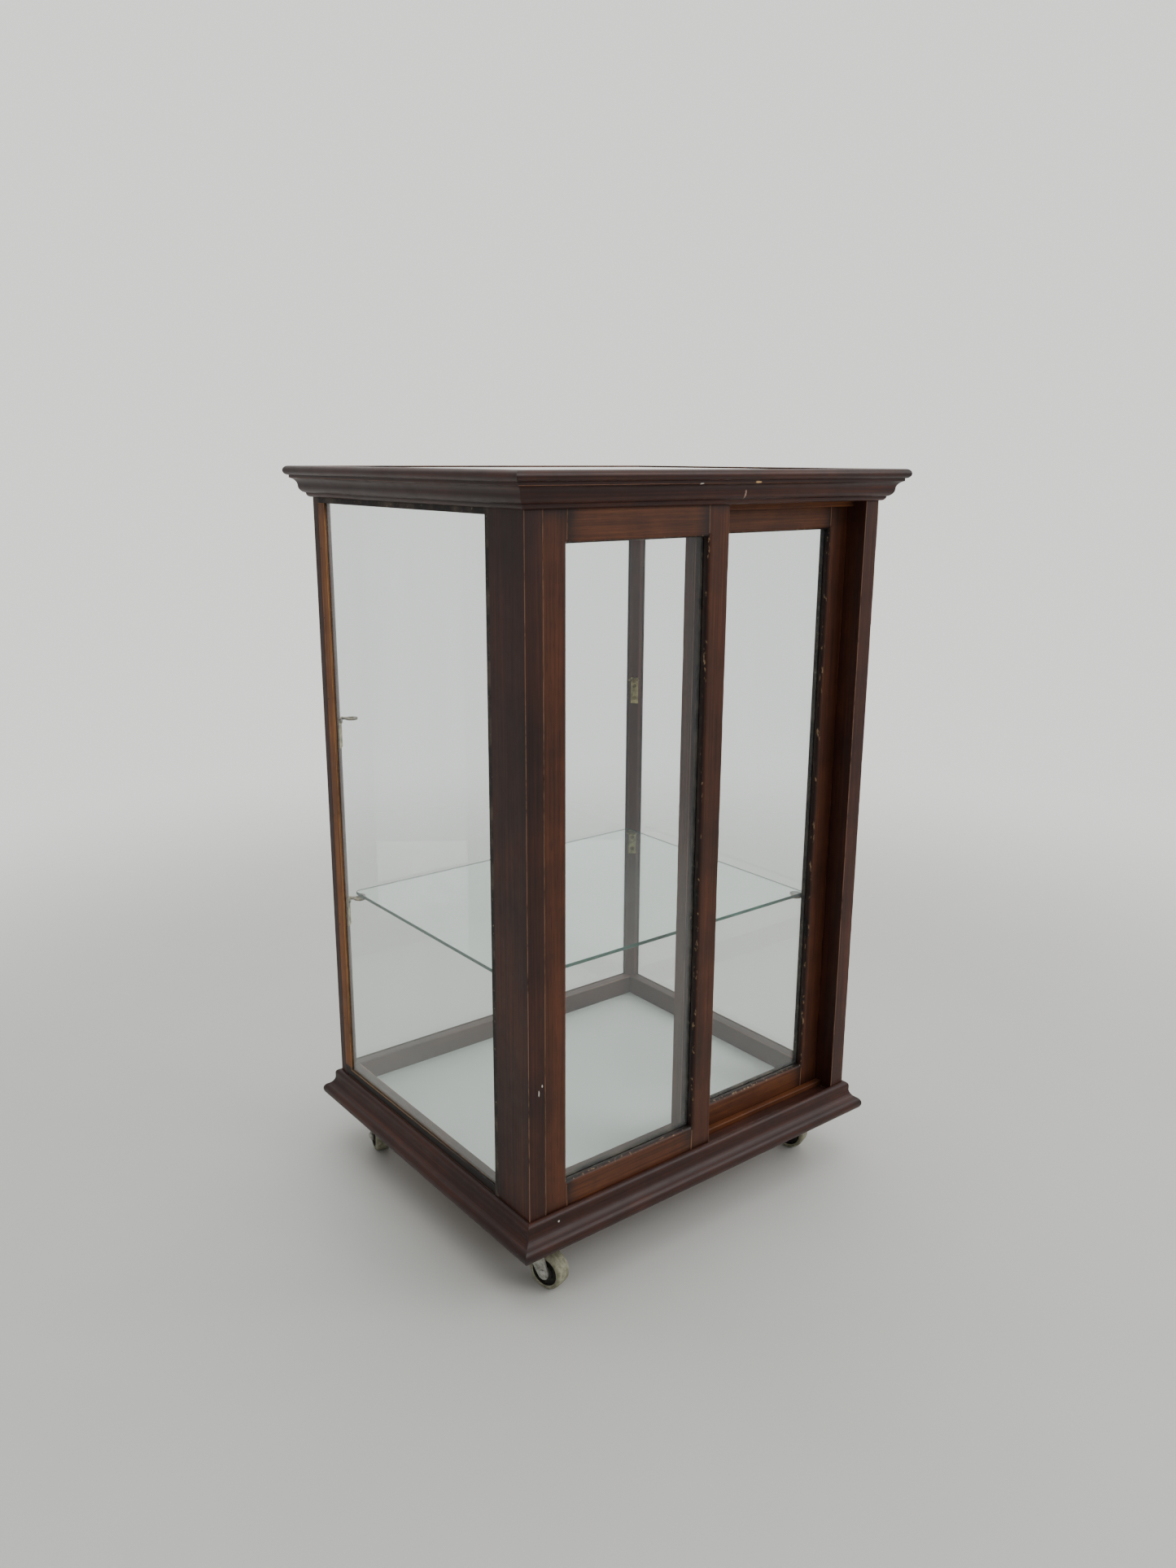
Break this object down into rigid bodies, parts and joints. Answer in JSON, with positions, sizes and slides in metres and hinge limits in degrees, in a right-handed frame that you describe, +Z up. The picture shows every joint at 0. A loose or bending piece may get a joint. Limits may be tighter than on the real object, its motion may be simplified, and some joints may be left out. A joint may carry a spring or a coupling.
{
  "type": "display case",
  "caption": "Free-standing glazed display case: slim moulded wooden frame on swivel casters, two sliding glass doors, a loose glass shelf on folding brass brackets",
  "frame": {"origin": "on the floor under the middle of the case", "axes": "+Z up, -Y is the front with the doors, +X to the right as seen from the front"},
  "size_m": [0.521, 0.452, 0.83],
  "materials": {
    "frame_wood": "dark red-brown stained hardwood, worn satin varnish",
    "door_wood": "red-brown hardwood, worn varnish, lighter than the frame",
    "worn_wood": "orange-brown hardwood with the varnish worn off",
    "board_wood": "bare softwood carcass board, aged",
    "floor_panel": "board with a matt pale grey-white facing",
    "clear_glass": "clear float glass with green edges",
    "putty": "hard dark brown glazing putty, chipped",
    "old_brass": "dull aged brass",
    "zinc_steel": "zinc-plated pressed steel, dull with grime",
    "wheel_rubber": "grey-green hard rubber, worn tread"
  },
  "bodies": {
    "case": {"front_left_post": "frame_wood", "front_right_post": "frame_wood", "back_left_post": "frame_wood", "back_right_post": "frame_wood", "front_top_rail": "frame_wood", "top_rails": "frame_wood", "front_sill": "frame_wood", "bottom_rails": "frame_wood", "cornice_front": "frame_wood", "cornice_left": "frame_wood", "cornice_right": "frame_wood", "cornice_back": "frame_wood", "base_moulding_front": "frame_wood", "base_moulding_left": "frame_wood", "base_moulding_right": "frame_wood", "base_moulding_back": "frame_wood", "top_track_bead": "frame_wood", "bottom_track_bead": "worn_wood", "glazing_beads": "worn_wood", "base_board": "board_wood", "floor_panel": "floor_panel", "top_glass": "clear_glass", "left_glass": "clear_glass", "right_glass": "clear_glass", "back_glass": "clear_glass", "pane_putty": "putty", "bracket_plates": "old_brass", "bracket_pins": "old_brass", "bracket_screws": "old_brass", "caster_plates": "zinc_steel", "caster_screws": "zinc_steel"},
    "door_left": {"left_door_outer_stile": "door_wood", "left_door_meeting_stile": "door_wood", "left_door_top_rail": "door_wood", "left_door_bottom_rail": "door_wood", "left_door_glass": "clear_glass", "left_door_putty": "putty"},
    "door_right": {"right_door_outer_stile": "door_wood", "right_door_meeting_stile": "door_wood", "right_door_top_rail": "door_wood", "right_door_bottom_rail": "door_wood", "right_door_glass": "clear_glass", "right_door_putty": "putty"},
    "shelf": {"shelf_glass": "clear_glass"},
    "lower_front_left_arm": {"lower_front_left_arm": "old_brass"},
    "lower_front_right_arm": {"lower_front_right_arm": "old_brass"},
    "lower_back_left_arm": {"lower_back_left_arm": "old_brass"},
    "lower_back_right_arm": {"lower_back_right_arm": "old_brass"},
    "upper_front_left_arm": {"upper_front_left_arm": "old_brass"},
    "upper_front_right_arm": {"upper_front_right_arm": "old_brass"},
    "upper_back_left_arm": {"upper_back_left_arm": "old_brass"},
    "upper_back_right_arm": {"upper_back_right_arm": "old_brass"},
    "front_left_fork": {"front_left_caster_fork": "zinc_steel"},
    "front_left_wheel": {"front_left_caster_wheel": "wheel_rubber"},
    "front_right_fork": {"front_right_caster_fork": "zinc_steel"},
    "front_right_wheel": {"front_right_caster_wheel": "wheel_rubber"},
    "back_left_fork": {"back_left_caster_fork": "zinc_steel"},
    "back_left_wheel": {"back_left_caster_wheel": "wheel_rubber"},
    "back_right_fork": {"back_right_caster_fork": "zinc_steel"},
    "back_right_wheel": {"back_right_caster_wheel": "wheel_rubber"}
  },
  "joints": [
    {"name": "left_door_slide", "type": "slide", "parent": "case", "child": "door_left", "axis": [1, 0, 0], "range_m": [0, 0.204]},
    {"name": "right_door_slide", "type": "slide", "parent": "case", "child": "door_right", "axis": [1, 0, 0], "range_m": [-0.204, 0]},
    {"name": "shelf_lift", "type": "slide", "parent": "case", "child": "shelf", "axis": [0, 0, 1], "range_m": [0, 0.2]},
    {"name": "lower_front_left_arm_fold", "type": "hinge", "parent": "case", "child": "lower_front_left_arm", "pos_m": [-0.2183, -0.1433, 0.325], "axis": [0.7071, -0.7071, 0], "range_deg": [0, 90]},
    {"name": "lower_front_right_arm_fold", "type": "hinge", "parent": "case", "child": "lower_front_right_arm", "pos_m": [0.2183, -0.1433, 0.325], "axis": [0.7071, 0.7071, 0], "range_deg": [0, 90]},
    {"name": "lower_back_left_arm_fold", "type": "hinge", "parent": "case", "child": "lower_back_left_arm", "pos_m": [-0.2213, 0.1868, 0.325], "axis": [-0.7071, -0.7071, 0], "range_deg": [0, 90]},
    {"name": "lower_back_right_arm_fold", "type": "hinge", "parent": "case", "child": "lower_back_right_arm", "pos_m": [0.2213, 0.1868, 0.325], "axis": [-0.7071, 0.7071, 0], "range_deg": [0, 90]},
    {"name": "upper_front_left_arm_fold", "type": "hinge", "parent": "case", "child": "upper_front_left_arm", "pos_m": [-0.2183, -0.1433, 0.546], "axis": [0.7071, -0.7071, 0], "range_deg": [-90, 0]},
    {"name": "upper_front_right_arm_fold", "type": "hinge", "parent": "case", "child": "upper_front_right_arm", "pos_m": [0.2183, -0.1433, 0.546], "axis": [0.7071, 0.7071, 0], "range_deg": [-90, 0]},
    {"name": "upper_back_left_arm_fold", "type": "hinge", "parent": "case", "child": "upper_back_left_arm", "pos_m": [-0.2213, 0.1868, 0.546], "axis": [-0.7071, -0.7071, 0], "range_deg": [0, 90]},
    {"name": "upper_back_right_arm_fold", "type": "hinge", "parent": "case", "child": "upper_back_right_arm", "pos_m": [0.2213, 0.1868, 0.546], "axis": [-0.7071, 0.7071, 0], "range_deg": [0, 90]},
    {"name": "front_left_swivel", "type": "hinge", "parent": "case", "child": "front_left_fork", "pos_m": [-0.207, -0.1715, 0.055], "axis": [0, 0, 1], "continuous": true},
    {"name": "front_left_roll", "type": "hinge", "parent": "front_left_fork", "child": "front_left_wheel", "pos_m": [-0.20191, -0.18814, 0.02], "axis": [0.9563, 0.2924, 0], "continuous": true},
    {"name": "front_right_swivel", "type": "hinge", "parent": "case", "child": "front_right_fork", "pos_m": [0.207, -0.1715, 0.055], "axis": [0, 0, 1], "continuous": true},
    {"name": "front_right_roll", "type": "hinge", "parent": "front_right_fork", "child": "front_right_wheel", "pos_m": [0.20105, -0.15515, 0.02], "axis": [-0.9397, -0.342, 0], "continuous": true},
    {"name": "back_left_swivel", "type": "hinge", "parent": "case", "child": "back_left_fork", "pos_m": [-0.207, 0.1715, 0.055], "axis": [0, 0, 1], "continuous": true},
    {"name": "back_left_roll", "type": "hinge", "parent": "back_left_fork", "child": "back_left_wheel", "pos_m": [-0.21209, 0.15486, 0.02], "axis": [0.9563, -0.2924, 0], "continuous": true},
    {"name": "back_right_swivel", "type": "hinge", "parent": "case", "child": "back_right_fork", "pos_m": [0.207, 0.1715, 0.055], "axis": [0, 0, 1], "continuous": true},
    {"name": "back_right_roll", "type": "hinge", "parent": "back_right_fork", "child": "back_right_wheel", "pos_m": [0.21352, 0.18763, 0.02], "axis": [-0.9272, 0.3746, 0], "continuous": true}
  ],
  "couplings": [
    {"joint": "lower_front_left_arm_fold", "follows": "shelf_lift", "rad_per_m": 7.85},
    {"joint": "lower_front_right_arm_fold", "follows": "shelf_lift", "rad_per_m": 7.85},
    {"joint": "lower_back_left_arm_fold", "follows": "shelf_lift", "rad_per_m": 7.85},
    {"joint": "lower_back_right_arm_fold", "follows": "shelf_lift", "rad_per_m": 7.85}
  ]
}
